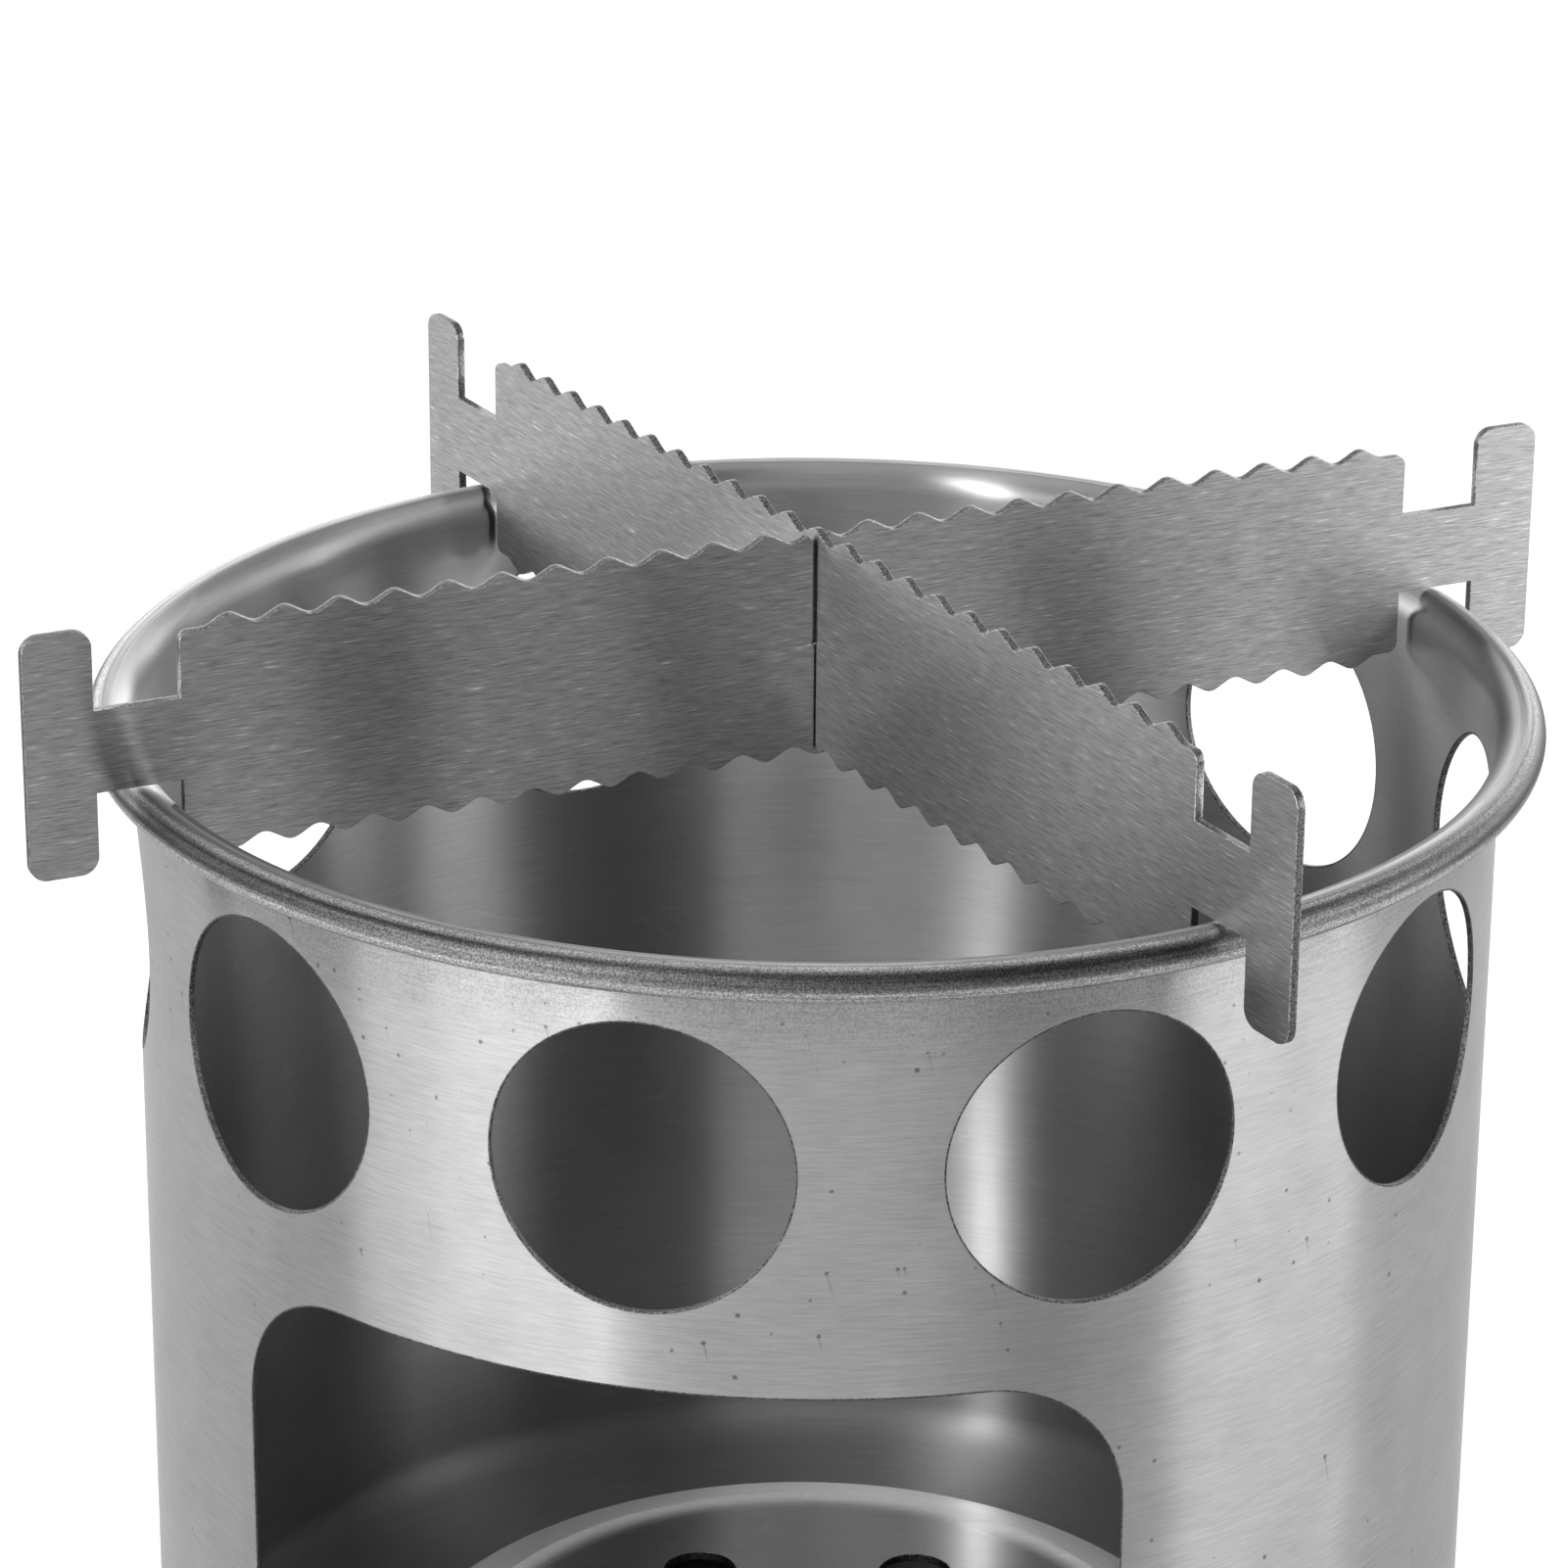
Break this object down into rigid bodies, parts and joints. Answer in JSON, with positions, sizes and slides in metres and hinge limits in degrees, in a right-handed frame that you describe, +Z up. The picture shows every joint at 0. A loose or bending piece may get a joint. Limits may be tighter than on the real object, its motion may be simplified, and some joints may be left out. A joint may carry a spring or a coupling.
{
  "type": "twig stove",
  "caption": "Open-topped round steel stove for burning twigs, with flue holes under a curled rim, a feed opening, a lift-out grate and a toothed cross for a pot.",
  "frame": {"origin": "on the ground, at the axis of the round body", "axes": "+Z up along the body's axis; -Y towards the user, through the middle of the feed opening; +X to the user's right"},
  "size_m": [0.1277, 0.1276, 0.1248],
  "materials": {
    "body_steel": "brushed round the body, fine lines",
    "grate_steel": "as rolled, half gloss",
    "plate_steel": "brushed lengthwise, dark cut edges"
  },
  "bodies": {
    "stove": {"stove_body": "body_steel"},
    "grate": {"fire_grate": "grate_steel"},
    "lower_plate": {"support_plate_lower": "plate_steel"},
    "upper_plate": {"support_plate_upper": "plate_steel"}
  },
  "joints": [
    {"name": "grate_lift", "type": "slide", "parent": "stove", "child": "grate", "axis": [0, 0, 1], "range_m": [0, 0.088]},
    {"name": "lower_plate_lift", "type": "slide", "parent": "stove", "child": "lower_plate", "axis": [0, 0, 1], "range_m": [0, 0.03]},
    {"name": "upper_plate_lift", "type": "slide", "parent": "lower_plate", "child": "upper_plate", "axis": [0, 0, 1], "range_m": [0, 0.03]}
  ]
}
